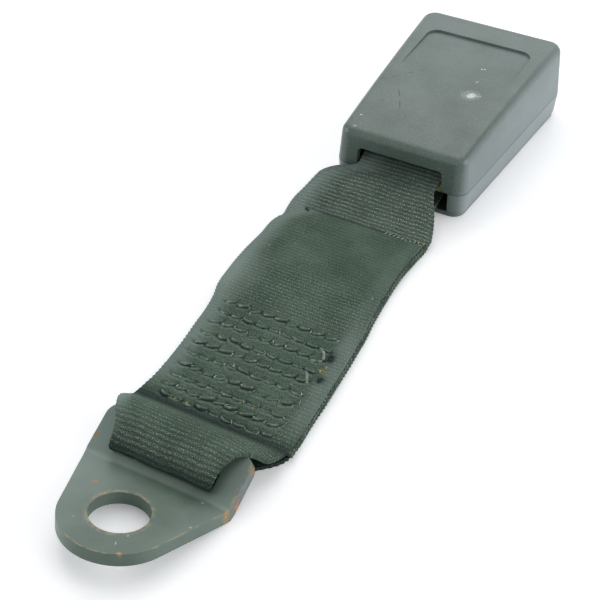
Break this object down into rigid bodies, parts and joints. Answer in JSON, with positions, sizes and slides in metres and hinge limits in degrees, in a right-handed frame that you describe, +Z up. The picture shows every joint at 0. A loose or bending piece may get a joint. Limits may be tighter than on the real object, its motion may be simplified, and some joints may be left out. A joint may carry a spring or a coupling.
{
  "type": "seat belt buckle",
  "caption": "Wedge-shaped seat belt buckle with a tongue slot and release button in its end face, on a short folded webbing strap with a steel anchor plate.",
  "frame": {"origin": "centre of the anchor bolt hole, half way through the plate", "axes": "+Y from the anchor plate along the strap to the tongue slot, +Z up from the surface that it lies on, +X across the webbing"},
  "size_m": [0.0554, 0.2516, 0.027],
  "materials": {
    "cover_plastic": "fine grained moulded plastic, worn",
    "screw_steel": "black oxide",
    "frame_steel": "yellow zinc plate with some rust",
    "guide_plastic": "smooth moulding",
    "latch_steel": "hardened and zinc plated",
    "pin_steel": "ground",
    "spring_steel": "drawn wire",
    "ejector_plastic": "natural acetal",
    "button_plastic": "smooth moulding",
    "webbing_fabric": "woven polyester webbing",
    "plate_paint": "satin paint, chipped and rusting at the edges"
  },
  "bodies": {
    "buckle": {"top_cover": "cover_plastic", "bottom_cover": "cover_plastic", "cover_screws": "screw_steel", "frame": "frame_steel", "mouth_guide": "guide_plastic", "latch_pin": "pin_steel", "pin_clip": "spring_steel", "latch_spring": "spring_steel", "ejector_spring": "spring_steel", "button_spring_left": "spring_steel", "button_spring_right": "spring_steel"},
    "button": {"release_button": "button_plastic"},
    "latch": {"latch_plate": "latch_steel"},
    "ejector": {"ejector": "ejector_plastic"},
    "strap": {"webbing": "webbing_fabric"},
    "anchor": {"anchor_plate": "plate_paint"}
  },
  "joints": [
    {"name": "button_press", "type": "slide", "parent": "buckle", "child": "button", "axis": [0, -1, 0], "range_m": [0, 0.006], "stiffness_N_per_m": 600, "springref_m": -0.006, "deforming": ["button_spring_left", "button_spring_right"]},
    {"name": "latch_lift", "type": "hinge", "parent": "buckle", "child": "latch", "pos_m": [0, 0.1844, 0.01063], "axis": [1, 0, 0], "range_deg": [0, 12], "deforming": ["latch_spring"]},
    {"name": "ejector_slide", "type": "slide", "parent": "buckle", "child": "ejector", "axis": [0, -1, 0], "range_m": [0, 0.01], "stiffness_N_per_m": 300, "springref_m": -0.004, "deforming": ["ejector_spring"]},
    {"name": "strap_swing", "type": "hinge", "parent": "buckle", "child": "strap", "pos_m": [0, 0.1619, 0.00313], "axis": [1, 0, 0], "range_deg": [-25, 4]},
    {"name": "anchor_swing", "type": "hinge", "parent": "strap", "child": "anchor", "pos_m": [0, 0.02689, 0.00146], "axis": [1, 0, 0], "range_deg": [-75, 50]}
  ],
  "couplings": [
    {"joint": "latch_lift", "follows": "button_press", "rad_per_m": 34.907}
  ]
}
